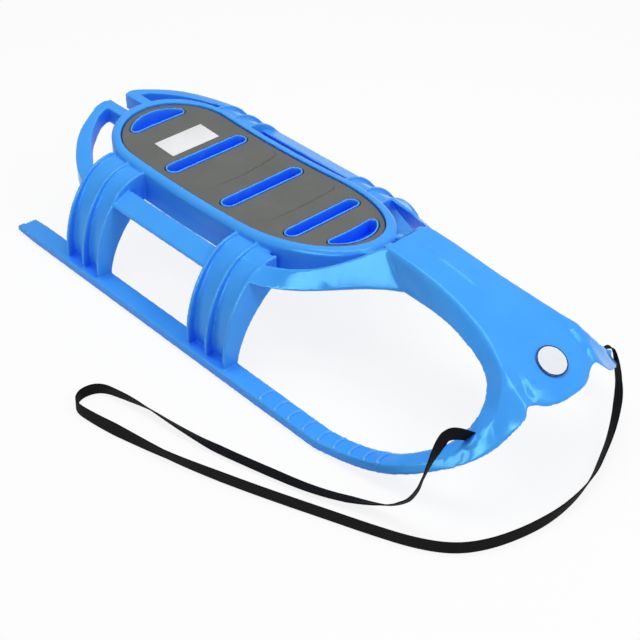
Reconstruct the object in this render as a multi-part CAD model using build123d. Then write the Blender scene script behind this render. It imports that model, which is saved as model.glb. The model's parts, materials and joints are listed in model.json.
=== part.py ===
from build123d import *
import math
import os

# One-piece-look plastic toboggan: two runners, four ribbed legs, a padded seat deck,
# grip rails, rear hand loops and a hood that joins the two curled-up runner tips.
# Millimetres. +X is forward, +Y is the rider's left, +Z is up, the floor is z = 0.
# While it is being built, x is counted from the tail; everything is shifted at the end.

# ---- overall sizes ---------------------------------------------------------
LENGTH = 940.0            # tail of the runners to the tip of the nose lip
WIDTH = 407.0             # over the outer edges of the runners
DECK_HEIGHT = 162.0       # lowest point of the seat surface above the floor

# Positions and guide lines are drawn for a 940 x 407 sled with its seat at 162; LONG and WIDE
# stretch them along and across with the overall sizes, and lifted() stretches them upwards.
LONG = LENGTH / 940
WIDE = WIDTH / 407

# ---- runners ---------------------------------------------------------------
RUNNER_WIDTH = 31.0 * WIDE
RUNNER_HEIGHT = 14.0      # plastic of the runner, above the steel strip
RUNNER_END = 690.0 * LONG   # where the straight runner hands over to the front curl
TAIL_RISE = 3.0           # lift of the sole at the tail
TAIL_HEIGHT = 8.0         # plastic left at the tail
TAIL_LENGTH = 40.0
TOOTH_DEPTH = 5.0
TOOTH_PITCH = 5.0
TOOTH_COUNT = 4

# ---- steel slide strips under the runners ----------------------------------
STEEL_THICKNESS = 2.0
STEEL_WIDTH = 12.0
STEEL_START = 50.0

RUNNER_TOP = STEEL_THICKNESS + RUNNER_HEIGHT
DRAWN_TOP = 16.0          # height of the runner's top in the guide lines
DRAWN_SEAT = 162.0        # height of the seat in the guide lines
STRETCH = (DECK_HEIGHT - RUNNER_TOP) / (DRAWN_SEAT - DRAWN_TOP)


def lifted(z):
    """Height of a guide point: it stays beside the runner, and moves with the seat above it."""
    if z < DRAWN_TOP:
        return z * RUNNER_TOP / DRAWN_TOP
    return RUNNER_TOP + (z - DRAWN_TOP) * STRETCH


def fit(points):
    return [(x * LONG, y * WIDE, lifted(z)) for x, y, z in points]


def fit_section(points):
    return [(y * WIDE, lifted(z)) for y, z in points]


def fit_plan(points):
    return [(x * LONG, y * WIDE) for x, y in points]


# ---- seat deck and pad -----------------------------------------------------
PAD_HALF_WIDTH = 86.5 * WIDE
PAD_REAR = 77.0 * LONG    # rear end of the pad, counted from the tail
PAD_FRONT = 589.0 * LONG
PAD_REAR_ROUND = 91.0 * LONG      # length of the pad's rounded rear end
PAD_FRONT_ROUND = 172.0 * LONG
PAD_THICKNESS = 8.0
PAD_GAP = 0.3             # clearance under the pad
PAD_SIDE_GAP = 1.5        # clearance round the pad and round the slot lips
RIM_SIDE = 14.0           # deck that shows beside the pad
RIM_REAR = 19.0
RIM_FRONT = 22.0
RIM_RISE = 3.0            # rim above the pad
RIM_ROUND = 9.0           # radius of the rim's outer shoulder
DECK_WALL = 4.0
DECK_SIDE_DEPTH = 52.0    # height of the deck's side wall
DISH_RADIUS = 2080.0 * LONG ** 2    # the seat dips gently along its length
DISH_X = 291.0 * LONG     # lowest point of the dip

# ---- grip slots through the pad --------------------------------------------
SLOT_WIDTH = 21.0
SLOT_DEPTH = 14.0
SLOT_LIP = 2.5
SLOTS = fit_plan([(231.5, 143), (358.5, 143), (486.5, 128)])   # (x, length)
NOSE_SLOT_X = 548.0 * LONG
NOSE_SLOT_LENGTH = 71.0 * WIDE
NOSE_SLOT_REAR_BOW = -2.0
NOSE_SLOT_FRONT_BOW = -20.0
CRESCENT_X = 112.0 * LONG
CRESCENT_LENGTH = 83.0 * WIDE
CRESCENT_REAR_BOW = 17.5
CRESCENT_FRONT_BOW = 0.5
CURVED_SLOT_ROUND = 6.0   # added all round the two curved grips, which rounds their ends

# ---- legs ------------------------------------------------------------------
REAR_FINS = [x * LONG for x in (130, 169.5, 207)]
FRONT_FINS = [x * LONG for x in (421.5, 461.5, 501)]
FIN_THICKNESS = 5.0
FIN_FOOT_DEPTH = 14.0     # how far the fins stand out from the web between them, at the foot
FIN_HEAD_DEPTH = 4.0      # and at the seat
WEB_THICKNESS = 4.0
WEB_OVERLAP = 0.5

# ---- grip rails beside the seat --------------------------------------------
# Top edges of a right-hand rail as (y, z); it slopes from the inner down to the outer one.
RAIL_OUTER, RAIL_INNER = fit_section([(-159.5, 130), (-128, 143)])
RAIL_EDGE = 5.0           # wall left under the outer edge
RAIL_WALL = 20.0          # height of the inner wall

# ---- rear hand loops -------------------------------------------------------
LOOP_CREST = lifted(170)  # the loops lie on a wide arch seen from behind
LOOP_ARCH_RADIUS = 385.0 * WIDE ** 2
LOOP_DEPTH = 26.0

# ---- hood and nose ---------------------------------------------------------
SKIN = 5.0                # wall of the hood and of the front rails
INNER_DROP = 1.0          # the wall's inner edge lies this much lower than its outer edge
LIP_BULGE = 34.0          # how far the middle of the nose lip stands ahead of its corners
LIP_HALF_WIDTH = 58.0 * WIDE
NECK_THICKNESS = 12.0
NECK_Y = 22.0             # inner side of each neck rib
BADGE_DIAMETER = 43.0
BADGE_THICKNESS = 2.5

# ---- blank label on the pad ------------------------------------------------
LABEL_X = 184.0 * LONG
LABEL_LENGTH = 45.0
LABEL_WIDTH = 88.0
LABEL_THICKNESS = 0.6

# ---- pull strap ------------------------------------------------------------
STRAP_WIDTH = 20.0
STRAP_SOCKET_GAP = 1.0    # clearance round the strap in its slot
STRAP_SOCKET_DEPTH = 14.0
STRAP_BEND = 0.45         # share of the shorter run that each bend of the strap takes up

HALF_WIDTH = WIDTH / 2
INNER_Y = HALF_WIDTH - RUNNER_WIDTH
DECK_HALF_WIDTH = PAD_HALF_WIDTH + RIM_SIDE
DECK_FRONT = PAD_FRONT + RIM_FRONT
TALL = 400.0              # taller than anything on the sled

# Section lines of a right-hand leg, seen along the sled, as (y, z).
LEG_OUTSIDE = fit_section([(-196, 16), (-196, 42), (-191, 68), (-183, 92), (-172, 113), (-159, 131),
                           (-144, 146), (-128, 155), (-98, 160)])
LEG_INSIDE = fit_section([(-173, 16), (-159, 55), (-133, 90), (-98, 118)])

# Plan lines of a right-hand hand loop, as (x, y).
LOOP_OUTSIDE = fit_plan([(130, -156), (100, -145), (70, -125), (42, -98), (16, -56), (5, -30), (9, -14)])
LOOP_INSIDE = fit_plan([(130, -135), (111, -124), (92, -111), (68, -94), (45, -69), (29, -46), (25, -32)])
LOOP_END = 75.0           # the loop's inner bar runs forward into the deck

# Lines along the right-hand side of the front, each as (x, y, z).
# The curl is the strip that turns up from the runner and inwards to the hood.
CURL_SOLE = fit([(690, -203.5, 2), (740, -197, 7), (803, -187, 23), (866, -165, 54), (901, -143, 78),
                 (915, -119, 90), (925, -92, 109), (929, -75, 126), (922, -63, 139)])
CURL_EDGE = fit([(690, -203.5, 16), (740, -196, 21), (801, -184, 37), (852, -163, 63), (882, -141, 90),
                 (897, -117, 118), (901, -96, 137), (893, -79, 155), (882, -69, 172.5)])
CURL_INSIDE = fit([(690, -172.5, 16), (738, -166, 19), (793, -155, 34), (834, -146, 61), (864, -133, 88),
                   (879, -118, 113), (880, -100, 134), (872, -87, 148), (858, -76, 160)])
HOOD_EDGE = fit([(882, -69, 172.5), (850, -57, 186.5), (820, -50, 195.5), (780, -43.5, 204.5),
                 (700, -39.5, 217.5), (650, -39, 221)])
HOOD_SKIRT = fit([(858, -76, 160), (826, -65, 167), (790, -56, 173), (735, -47, 173), (686, -42, 170)])
FRONT_RAIL_UPPER = fit([(503.5, -123.5, 157), (525, -117.5, 160.5), (555, -107, 168), (585, -90, 179),
                        (615, -68, 196.5), (650, -39, 221)])
FRONT_RAIL_LOWER = fit([(503.5, -150, 141), (540, -132, 140.5), (590, -102, 150), (639, -72, 165),
                        (686, -42, 170)])
# Hood from its rear edge to the lip: a line along its left edge and one along its middle.
HOOD_SIDE = fit([(650, 39, 221), (700, 39.5, 217.5), (740, 40, 212), (780, 43.5, 204.5), (820, 50, 195.5),
                 (850, 57, 186.5), (882, 69, 172.5), (901, 66, 157), (921, 60, 135), (940, 50, 114)])
HOOD_CROWN = fit([(650, 0, 222.5), (700, 0, 219), (740, 0, 213.5), (780, 0, 206), (820, 0, 196.5),
                  (850, 0, 186), (882, 0, 169.5), (901, 0, 160), (921, 0, 149), (940, 0, 132)])
# Side view of a neck rib, as (x, z).
NECK_SIDE = [(x * LONG, lifted(z)) for x, z in [(586, 156), (586, 178), (617, 192), (643, 218), (656, 218),
                                                (672, 196), (640, 168)]]
BADGE_STATION = 7         # the badge lies on the hood's crown at this point of its line

# Middle line of the pull strap, from the slot in the right-hand curl, out over the edge, down to
# the floor, back beside the sled, round and forward again, and up to the left-hand curl.
STRAP_ROUTE = fit([(887, -122, 101), (878, -142, 118), (879, -171, 131), (885, -196, 117),
                   (885, -210, 87), (874, -214, 52), (850, -219, 22), (810, -233, 10.2),
                   (752, -259, 10.2), (676, -283, 10.2), (600, -303, 10.2), (535, -318, 10.2),
                   (484, -328, 10.2), (446, -336, 10.2), (411, -345, 10.2), (403, -370, 10.2),
                   (419.5, -390, 10.2), (456, -386, 10.2), (510, -380, 10.2), (585, -367, 10.2),
                   (660, -343, 10.2), (730, -317, 10.2), (795, -290, 10.2), (852, -265, 10.2),
                   (905, -238, 10.2), (943, -208, 10.2), (966, -170, 10.2), (981, -122, 10.2),
                   (987.5, -72, 10.2), (984, -24, 10.2), (974, 18, 10.2), (960, 52, 10.2), (945, 84, 16),
                   (931, 114, 27), (918, 142, 38), (909, 160, 58), (904, 168, 84), (896, 160, 106),
                   (886.5, 141, 112), (883, 123.5, 99)])


def save(name, shape):
    export_step(Pos(-LENGTH / 2, 0, 0) * shape, f"parts/{name}.step")
    print(f"{name}: {shape.volume / 1000:.1f} cm3")


def save_pair(name, right_shape):
    save("right_" + name, right_shape)
    save("left_" + name, mirror(right_shape, about=Plane.XZ))


def shift(points, x=0.0, y=0.0, z=0.0):
    return [(px + x, py + y, pz + z) for px, py, pz in points]


def ruled_quad(corners):
    near = Edge.make_line(corners[0], corners[1])
    far = Edge.make_line(corners[3], corners[2])
    return Face.make_surface_from_curves(near, far)


def solid_between(*lines):
    """Solid whose four long edges are smooth lines, given in order round its section."""
    edges = [Edge.make_spline(line) if len(line) > 2 else Edge.make_line(*line) for line in lines]
    pairs = zip(edges, edges[1:] + edges[:1])
    sides = [Face.make_surface_from_curves(first, second) for first, second in pairs]
    caps = [ruled_quad([line[end] for line in lines]) for end in (0, -1)]
    return Solid(Shell(sides + caps))


def rounded_plan(rear, rear_round, front, front_round, half_width):
    """Plan outline with straight sides and elliptical ends, as a flat face."""
    rear_x = rear + rear_round
    front_x = front - front_round
    nose = EllipticalCenterArc((front_x, 0), front_round, half_width, -90, arc_size=180)
    left = Line((front_x, half_width), (rear_x, half_width))
    tail = EllipticalCenterArc((rear_x, 0), rear_round, half_width, 90, arc_size=180)
    right = Line((rear_x, -half_width), (front_x, -half_width))
    return make_face([nose, left, tail, right])


def column(plan):
    """The plan outline as an upright prism through the whole height."""
    return extrude(plan, TALL)


def dish(depth):
    """Large cylinder across the sled; its lower side lies depth below the seat surface."""
    radius = DISH_RADIUS + depth
    return Pos(DISH_X, 0, DECK_HEIGHT + DISH_RADIUS) * Rot(90, 0, 0) * Cylinder(radius, 2 * WIDTH)


# ---- seat deck, pad and slots ----------------------------------------------

def lens(x, length, rear_bow, front_bow):
    """Plan of a curved grip: two arcs that meet at the ends, both bowed by a given amount."""
    half = length / 2
    rear = ThreePointArc((x, -half), (x - rear_bow, 0), (x, half))
    front = ThreePointArc((x, -half), (x - front_bow, 0), (x, half))
    return make_face([rear, front])


def slot_plans(grow):
    """Plans of all grips in the pad, each made larger all round by grow."""
    plans = [Pos(x, 0) * Rot(0, 0, 90) * SlotOverall(length + 2 * grow, SLOT_WIDTH + 2 * grow)
             for x, length in SLOTS]
    crescent = lens(CRESCENT_X, CRESCENT_LENGTH, CRESCENT_REAR_BOW, CRESCENT_FRONT_BOW)
    nose = lens(NOSE_SLOT_X, NOSE_SLOT_LENGTH, NOSE_SLOT_REAR_BOW, NOSE_SLOT_FRONT_BOW)
    curved = [offset(plan, CURVED_SLOT_ROUND + grow) for plan in (crescent, nose)]
    return plans + curved


def deck_plan(inset=0.0):
    rear = PAD_REAR - RIM_REAR + inset
    front = DECK_FRONT - inset
    return rounded_plan(rear, PAD_REAR_ROUND + RIM_REAR - inset, front,
                        PAD_FRONT_ROUND + RIM_FRONT - inset, DECK_HALF_WIDTH - inset)


def pad_plan(grow=0.0):
    return rounded_plan(PAD_REAR - grow, PAD_REAR_ROUND + grow, PAD_FRONT + grow,
                        PAD_FRONT_ROUND + grow, PAD_HALF_WIDTH + grow)


def deck_body():
    """The room the deck takes up, down to its lower edge."""
    return column(deck_plan()) & dish(DECK_SIDE_DEPTH)


def make_deck():
    floor_depth = PAD_THICKNESS + PAD_GAP
    shell = deck_body() - dish(-RIM_RISE)
    rim = [edge for edge in shell.edges() if edge.bounding_box().min.Z > DECK_HEIGHT]
    shell = fillet(rim, RIM_ROUND)
    pocket = column(pad_plan(PAD_SIDE_GAP)) & dish(floor_depth)
    hollow = column(deck_plan(DECK_WALL)) - dish(floor_depth + DECK_WALL)
    deck = shell - pocket - hollow
    for plan in slot_plans(SLOT_LIP):
        trough = (column(plan) & dish(floor_depth + SLOT_DEPTH + DECK_WALL)) - dish(-SLOT_LIP / 3)
        deck += trough
    for plan in slot_plans(0.0):
        deck -= column(plan) & dish(floor_depth + SLOT_DEPTH)
    return deck


def make_pad():
    pad = (column(pad_plan()) & dish(PAD_THICKNESS)) - dish(0.0)
    for plan in slot_plans(SLOT_LIP + PAD_SIDE_GAP):
        pad -= column(plan)
    return pad


def make_label():
    sheet = Pos(LABEL_X, 0, 0) * Box(LABEL_LENGTH, LABEL_WIDTH, 2 * TALL)
    return (sheet & dish(-PAD_GAP)) - dish(-PAD_GAP - LABEL_THICKNESS)


# ---- runners ---------------------------------------------------------------

def make_runner():
    tail_low = STEEL_THICKNESS + TAIL_RISE
    side = Polyline((0, tail_low), (TAIL_LENGTH, STEEL_THICKNESS), (RUNNER_END, STEEL_THICKNESS),
                    (RUNNER_END, RUNNER_TOP), (TAIL_LENGTH, RUNNER_TOP), (0, tail_low + TAIL_HEIGHT),
                    close=True)
    profile = Plane.XZ * make_face(side)
    runner = Pos(0, -INNER_Y, 0) * extrude(profile, RUNNER_WIDTH)
    for index in range(TOOTH_COUNT):
        notch_y = -INNER_Y - (index + 0.5) * TOOTH_PITCH
        notch = Polyline((-1, notch_y - TOOTH_PITCH / 2), (TOOTH_DEPTH, notch_y),
                         (-1, notch_y + TOOTH_PITCH / 2), close=True)
        runner -= extrude(make_face(notch), TALL)
    return runner


def make_steel_strip():
    middle_y = -HALF_WIDTH + RUNNER_WIDTH / 2
    length = RUNNER_END - STEEL_START
    strip = Box(length, STEEL_WIDTH, STEEL_THICKNESS)
    return Pos(STEEL_START + length / 2, middle_y, STEEL_THICKNESS / 2) * strip


# ---- legs ------------------------------------------------------------------

def leg_section(outside, inside):
    """Flat outline across the sled between an outer and an inner line."""
    outer = Spline(outside)
    inner = Spline(inside)
    foot = Line(outside[0], inside[0])
    head = Line(outside[-1], inside[-1])
    return Plane.YZ * make_face([outer, head, inner, foot])


def inwards(line, beyond_fins):
    """The leg's outer line moved square to itself, to the root of the fins and a little further."""
    moved = []
    for index, (before, point, after) in enumerate(zip(line[:1] + line, line, line[1:] + line[-1:])):
        taper = (FIN_FOOT_DEPTH - FIN_HEAD_DEPTH) * index / (len(line) - 1)
        distance = FIN_FOOT_DEPTH - taper + beyond_fins
        run = math.dist(before, after)
        moved.append((point[0] + (after[1] - before[1]) / run * distance,
                      point[1] - (after[0] - before[0]) / run * distance))
    return moved


def make_leg(fins):
    front = fins[-1]
    fin_plan = leg_section(LEG_OUTSIDE, inwards(LEG_OUTSIDE, 0.0))
    web_plan = leg_section(inwards(LEG_OUTSIDE, -WEB_OVERLAP), inwards(LEG_OUTSIDE, WEB_THICKNESS))
    plate_plan = leg_section(LEG_OUTSIDE, LEG_INSIDE)
    leg = Pos(front - FIN_THICKNESS / 2, 0, 0) * extrude(plate_plan, FIN_THICKNESS)
    leg += Pos(fins[0] - FIN_THICKNESS / 2, 0, 0) * extrude(web_plan, front - fins[0])
    for x in fins[:-1]:
        leg += Pos(x - FIN_THICKNESS / 2, 0, 0) * extrude(fin_plan, FIN_THICKNESS)
    return leg - deck_body()


# ---- rails and rear hand loops ---------------------------------------------

def make_side_rail():
    inner_low = (RAIL_INNER[0], RAIL_INNER[1] - RAIL_WALL)
    outer_low = (RAIL_OUTER[0], RAIL_OUTER[1] - RAIL_EDGE)
    section = Polyline(RAIL_OUTER, RAIL_INNER, inner_low, outer_low, close=True)
    rear = REAR_FINS[-1] + FIN_THICKNESS / 2
    front = FRONT_FINS[0] - FIN_THICKNESS / 2
    return Pos(rear, 0, 0) * extrude(Plane.YZ * make_face(section), front - rear)


def make_front_rail():
    inside_top = shift(FRONT_RAIL_UPPER, y=SKIN, z=-INNER_DROP)
    inside_low = [(lx, (uy + ly) / 2 + SKIN, lz - SKIN) for (ux, uy, uz), (lx, ly, lz)
                  in zip(FRONT_RAIL_UPPER[1:], FRONT_RAIL_LOWER)]
    return solid_between(FRONT_RAIL_LOWER, FRONT_RAIL_UPPER, inside_top, inside_low)


def loop_arch(depth):
    """Large cylinder along the sled; its upper side lies depth below the top of the loops."""
    middle = Pos(0, 0, LOOP_CREST - LOOP_ARCH_RADIUS) * Rot(0, 90, 0)
    return middle * Cylinder(LOOP_ARCH_RADIUS - depth, 2 * LENGTH)


def make_rear_loop():
    outer = Spline(LOOP_OUTSIDE)
    inner = Spline(LOOP_INSIDE)
    bar_inside = (LOOP_END, LOOP_INSIDE[-1][1])
    bar_outside = (LOOP_END, LOOP_OUTSIDE[-1][1])
    bar = Polyline(LOOP_OUTSIDE[-1], bar_outside, bar_inside, LOOP_INSIDE[-1])
    plan = make_face([outer, bar, inner, Line(LOOP_INSIDE[0], LOOP_OUTSIDE[0])])
    loop = (column(plan) & loop_arch(0.0)) - loop_arch(LOOP_DEPTH)
    rear_fin = REAR_FINS[0] - FIN_THICKNESS / 2
    behind_leg = Pos(rear_fin - LENGTH / 2, 0, 0) * Box(LENGTH, WIDTH, 2 * TALL)
    return (loop & behind_leg) - deck_body()


# ---- pull strap ------------------------------------------------------------

def route_vectors():
    return [Vector(*point) for point in STRAP_ROUTE]


def strap_radii():
    """Bend radius at each corner of the route, as large as its two runs allow."""
    points = route_vectors()
    radii = []
    for before, corner, after in zip(points, points[1:], points[2:]):
        arrive = corner - before
        leave = after - corner
        half_turn = math.radians(arrive.get_angle(leave)) / 2
        radii.append(STRAP_BEND * min(arrive.length, leave.length) / math.tan(half_turn))
    return radii


def make_strap():
    """Pull strap as a round tube as thick as the webbing is wide."""
    radii = strap_radii()
    points = route_vectors()
    path = FilletPolyline(points, radius=radii)
    start = Plane(origin=points[0], z_dir=points[1] - points[0])
    tube = sweep(start * Circle(STRAP_WIDTH / 2), path=path)
    expected = math.pi * (STRAP_WIDTH / 2) ** 2 * path.length
    print("strap length", round(path.length))
    print("volume over section times length", round(tube.volume / expected, 4))
    print("strap radii", [round(radius) for radius in radii])
    return tube


def strap_socket(end, towards):
    """Blind hole that one end of the strap sits in, flat at its bottom."""
    plane = Plane(origin=end, z_dir=towards - end)
    return extrude(plane * Circle(STRAP_WIDTH / 2 + STRAP_SOCKET_GAP), STRAP_SOCKET_DEPTH)


# ---- front curl, hood and nose ---------------------------------------------

def make_curl():
    inner_sole = [(ix + sx - ex, iy + sy - ey, iz + sz - ez) for (sx, sy, sz), (ex, ey, ez), (ix, iy, iz)
                  in zip(CURL_SOLE, CURL_EDGE, CURL_INSIDE)]
    return solid_between(CURL_SOLE, CURL_EDGE, CURL_INSIDE, inner_sole)


def hood_section(side, crown):
    """Flat outline across the hood's skin: bowed top, parallel underside."""
    x, edge_y, edge_z = side
    low_z = edge_z - SKIN
    top = ThreePointArc((-edge_y, edge_z), (0, crown[2]), (edge_y, edge_z))
    low = ThreePointArc((-edge_y, low_z), (0, crown[2] - SKIN), (edge_y, low_z))
    ends = [Line((y, edge_z), (y, low_z)) for y in (-edge_y, edge_y)]
    return Plane(origin=(x, 0, 0), x_dir=(0, 1, 0), z_dir=(1, 0, 0)) * make_face([top, low] + ends)


def lip_plan():
    """Plan outline that rounds off the front of the hood."""
    corner_x = LENGTH - LIP_BULGE
    lip = EllipticalCenterArc((corner_x, 0), LIP_BULGE, LIP_HALF_WIDTH, -90, arc_size=180)
    around = Polyline((corner_x, LIP_HALF_WIDTH), (corner_x, WIDTH), (0, WIDTH),
                      (0, -WIDTH), (corner_x, -WIDTH), (corner_x, -LIP_HALF_WIDTH))
    return make_face([lip, around])


def make_hood():
    panel = loft([hood_section(*lines) for lines in zip(HOOD_SIDE, HOOD_CROWN)], ruled=True)
    top = shift(HOOD_EDGE, z=-INNER_DROP)
    inside_top = shift(top, y=SKIN, z=-INNER_DROP)
    inside_low = shift(HOOD_SKIRT, y=SKIN, z=-INNER_DROP)
    skirt = solid_between(HOOD_SKIRT, top, inside_top, inside_low)
    return (panel & column(lip_plan())) + skirt + mirror(skirt, about=Plane.XZ)


def make_neck_rib():
    """Upright rib that ties the front wall of the deck to the rear of the hood."""
    side = Plane.XZ * make_face(Polyline(NECK_SIDE, close=True))
    return Pos(0, -NECK_Y, 0) * extrude(side, NECK_THICKNESS) - deck_body()


def make_badge():
    rear, middle, front = HOOD_CROWN[BADGE_STATION - 1:BADGE_STATION + 2]
    tilt = math.degrees(math.atan2(rear[2] - front[2], front[0] - rear[0]))
    disc = Pos(0, 0, BADGE_THICKNESS / 2) * Cylinder(BADGE_DIAMETER / 2, BADGE_THICKNESS)
    return Pos(*middle) * Rot(0, tilt, 0) * disc


def main():
    os.makedirs("parts", exist_ok=True)
    save("seat_deck", make_deck())
    save("seat_pad", make_pad())
    save("pad_label", make_label())
    save_pair("runner", make_runner())
    save_pair("steel_strip", make_steel_strip())
    save_pair("rear_leg", make_leg(REAR_FINS))
    save_pair("front_leg", make_leg(FRONT_FINS))
    save_pair("side_rail", make_side_rail())
    hood = make_hood()
    save_pair("front_rail", make_front_rail() - hood)
    save_pair("rear_loop", make_rear_loop())
    curl = make_curl()
    points = route_vectors()
    save("right_front_curl", curl - strap_socket(points[0], points[1]))
    save("left_front_curl", mirror(curl, about=Plane.XZ) - strap_socket(points[-1], points[-2]))
    save("pull_strap", make_strap())
    save("nose_hood", hood)
    save_pair("neck_rib", make_neck_rib() - hood)
    save("nose_badge", make_badge() - hood)


main()
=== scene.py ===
# %% [markdown]
# A blue moulded snow sled, built in Blender on top of its CAD model. The whole sled is one plastic
# moulding with a foam pad, a blank label, a blank badge and a pull strap of black webbing. All sizes
# are in metres: +X is forward, +Y is the rider's left and +Z is up.

# %% Load the frame
import json
import math

import bpy
import numpy as np
from mathutils import Euler, Matrix, Vector
from mathutils.bvhtree import BVHTree

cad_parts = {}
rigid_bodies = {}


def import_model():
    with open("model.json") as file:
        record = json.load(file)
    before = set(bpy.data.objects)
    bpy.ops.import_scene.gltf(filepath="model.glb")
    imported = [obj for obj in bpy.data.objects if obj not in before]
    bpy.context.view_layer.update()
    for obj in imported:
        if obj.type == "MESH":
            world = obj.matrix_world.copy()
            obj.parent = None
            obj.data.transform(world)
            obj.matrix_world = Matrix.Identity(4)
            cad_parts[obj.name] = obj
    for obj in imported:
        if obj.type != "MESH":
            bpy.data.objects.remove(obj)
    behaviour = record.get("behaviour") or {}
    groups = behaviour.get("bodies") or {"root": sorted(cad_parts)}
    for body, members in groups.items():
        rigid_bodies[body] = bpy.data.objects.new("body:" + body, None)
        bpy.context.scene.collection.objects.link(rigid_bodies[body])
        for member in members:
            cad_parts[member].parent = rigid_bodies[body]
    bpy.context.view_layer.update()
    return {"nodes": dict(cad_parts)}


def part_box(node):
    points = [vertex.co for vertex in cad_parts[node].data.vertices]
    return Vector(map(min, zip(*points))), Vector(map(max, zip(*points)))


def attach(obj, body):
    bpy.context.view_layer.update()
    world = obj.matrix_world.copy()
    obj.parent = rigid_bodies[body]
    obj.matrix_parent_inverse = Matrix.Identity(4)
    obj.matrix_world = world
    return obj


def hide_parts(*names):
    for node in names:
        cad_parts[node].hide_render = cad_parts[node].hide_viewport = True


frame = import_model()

print("CAD nodes:", len(frame["nodes"]))

# %% [markdown]
# Places on the sled are easiest to read as millimetres forward of the tail, to the rider's left and up.
# One helper turns such places into metres in the frame, and works for a single place or for a list.

# %% Measure the sled
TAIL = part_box("right_runner")[0].x
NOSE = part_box("nose_hood")[1].x
RUNNER_EDGE = -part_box("right_runner")[0].y
LOW = 0.05                # at the tail and at the foot ridges, all skin below this is the runner's
print("length and width:", round(NOSE - TAIL, 3), round(2 * RUNNER_EDGE, 3))


def place(points):
    """Millimetres from the tail, to the left and up, as metres in the frame."""
    return np.array(points, float) / 1000 + np.array((TAIL, 0, 0))


# %% [markdown]
# The camera looks down at the nose from the right, far enough off that the runners stay nearly parallel.
# It is aimed with angles round a point on the sled, so that its place is easy to read and change.

# %% Set up the camera
AIM = Vector((0.1387, -0.116, 0.12))
AZIMUTH = math.radians(-42.29)
ELEVATION = math.radians(36.96)
DISTANCE = 1.9128
ROLL = math.radians(-0.15)
FOCAL_LENGTH = 82.0       # millimetres, as is the width of the film
FILM_WIDTH = 36.0

bpy.ops.object.select_all(action="DESELECT")
back = Vector((math.cos(ELEVATION) * math.cos(AZIMUTH), math.cos(ELEVATION) * math.sin(AZIMUTH),
               math.sin(ELEVATION)))
bpy.ops.object.camera_add(location=AIM + DISTANCE * back)
camera = bpy.context.object
turn = back.to_track_quat("Z", "Y").to_matrix() @ Matrix.Rotation(ROLL, 3, "Z")
camera.rotation_euler = turn.to_euler()
camera.data.lens = FOCAL_LENGTH
camera.data.sensor_width = FILM_WIDTH
bpy.context.scene.camera = camera
print("camera at", tuple(round(value, 3) for value in camera.location))

# %% [markdown]
# The pull strap is a flat band of webbing. It leaves a slot in the right curl, arches over its edge, drops
# to the floor, runs back beside the sled, folds round and comes forward again round the nose to the left
# curl. Its middle line is a NURBS curve through listed control points, because a limp band bends in
# long easy curves and a NURBS has no corners. Webbing bends easily only about its own width, so on the
# curves it stands on its edge, and only on the straight run beside the sled it lies nearly flat.

# %% Lay the strap's line
STRAP_WIDTH = 0.02
STRAP_THICKNESS = 0.0018
LINE_STEPS = 10           # points of the line for each control point
ROUTE = [tuple(point) for point in place([
    (887, -122, 101), (880, -142, 115), (884, -169, 128.5), (890, -194, 114.5), (889, -209, 85),
    (877, -212.5, 50), (850, -217, 21), (810, -231, 8.5), (752, -257.5, 4.5), (676, -279, 4),
    (600, -299.5, 4), (537, -310, 6), (486, -316, 8), (446, -327, 10.2), (411, -338, 10.2),
    (403, -366, 10.2), (419, -388, 10.2), (456, -384, 10.2), (512, -372, 10.2), (587, -355, 10.2),
    (662, -330, 10.2), (732, -304, 10.2), (797, -278, 10.2), (853, -256, 10.2), (905, -233, 10.2),
    (943, -206, 10.2), (966, -170, 10.2), (981, -122, 10.2), (987.5, -72, 10.2), (984, -24, 10.2),
    (974, 18, 10.2), (961, 48, 10.5), (947, 81, 15), (936, 103, 26), (922, 126, 36), (905, 147.5, 47),
    (896, 151, 70), (892, 147, 92), (887, 138, 104), (883, 123.5, 99)])]


def smooth_line(points):
    """Points along the NURBS curve that has the given control points, from start to end."""
    data = bpy.data.curves.new("strap_line", "CURVE")
    data.dimensions = "3D"
    data.resolution_u = LINE_STEPS
    spline = data.splines.new("NURBS")
    spline.points.add(len(points) - 1)
    for control, point in zip(spline.points, points):
        control.co = (*point, 1.0)
    spline.order_u = 3        # each stretch of the line follows three control points
    spline.use_endpoint_u = True
    curve = bpy.data.objects.new("strap_line", data)
    bpy.context.collection.objects.link(curve)
    bpy.context.view_layer.update()
    mesh = bpy.data.meshes.new_from_object(curve)
    line = np.array([vertex.co for vertex in mesh.vertices])
    bpy.data.objects.remove(curve)
    bpy.data.meshes.remove(mesh)
    return line


strap_line = smooth_line(ROUTE)

# %% [markdown]
# The band itself is a flat grid laid along points read from that curve. A second short list says which way
# the width of the webbing points at places along the line, and the twist between two places is blended.
# Solidify gives the band its thickness and a small bevel rounds its woven edges.

# %% Helpers for shaping a mesh
def clean(obj):
    """Leaves only this object selected and active."""
    bpy.ops.object.select_all(action="DESELECT")
    obj.select_set(True)
    bpy.context.view_layer.objects.active = obj


def apply_modifier(obj, kind, **settings):
    """Adds one modifier with its settings and applies it."""
    clean(obj)
    modifier = obj.modifiers.new(kind, kind)
    for name, value in settings.items():
        setattr(modifier, name, value)
    bpy.ops.object.modifier_apply(modifier=modifier.name)


def read_points(obj, what="co"):
    """The places or the normals of a mesh's points, one row each."""
    values = np.empty(len(obj.data.vertices) * 3)
    obj.data.vertices.foreach_get(what, values)
    return values.reshape(-1, 3)


def write_points(obj, points):
    obj.data.vertices.foreach_set("co", points.ravel())
    obj.data.update()


def along(line):
    """Distance along a line of points, from its start."""
    return np.concatenate([[0], np.cumsum(np.linalg.norm(np.diff(line, axis=0), axis=1))])


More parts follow.
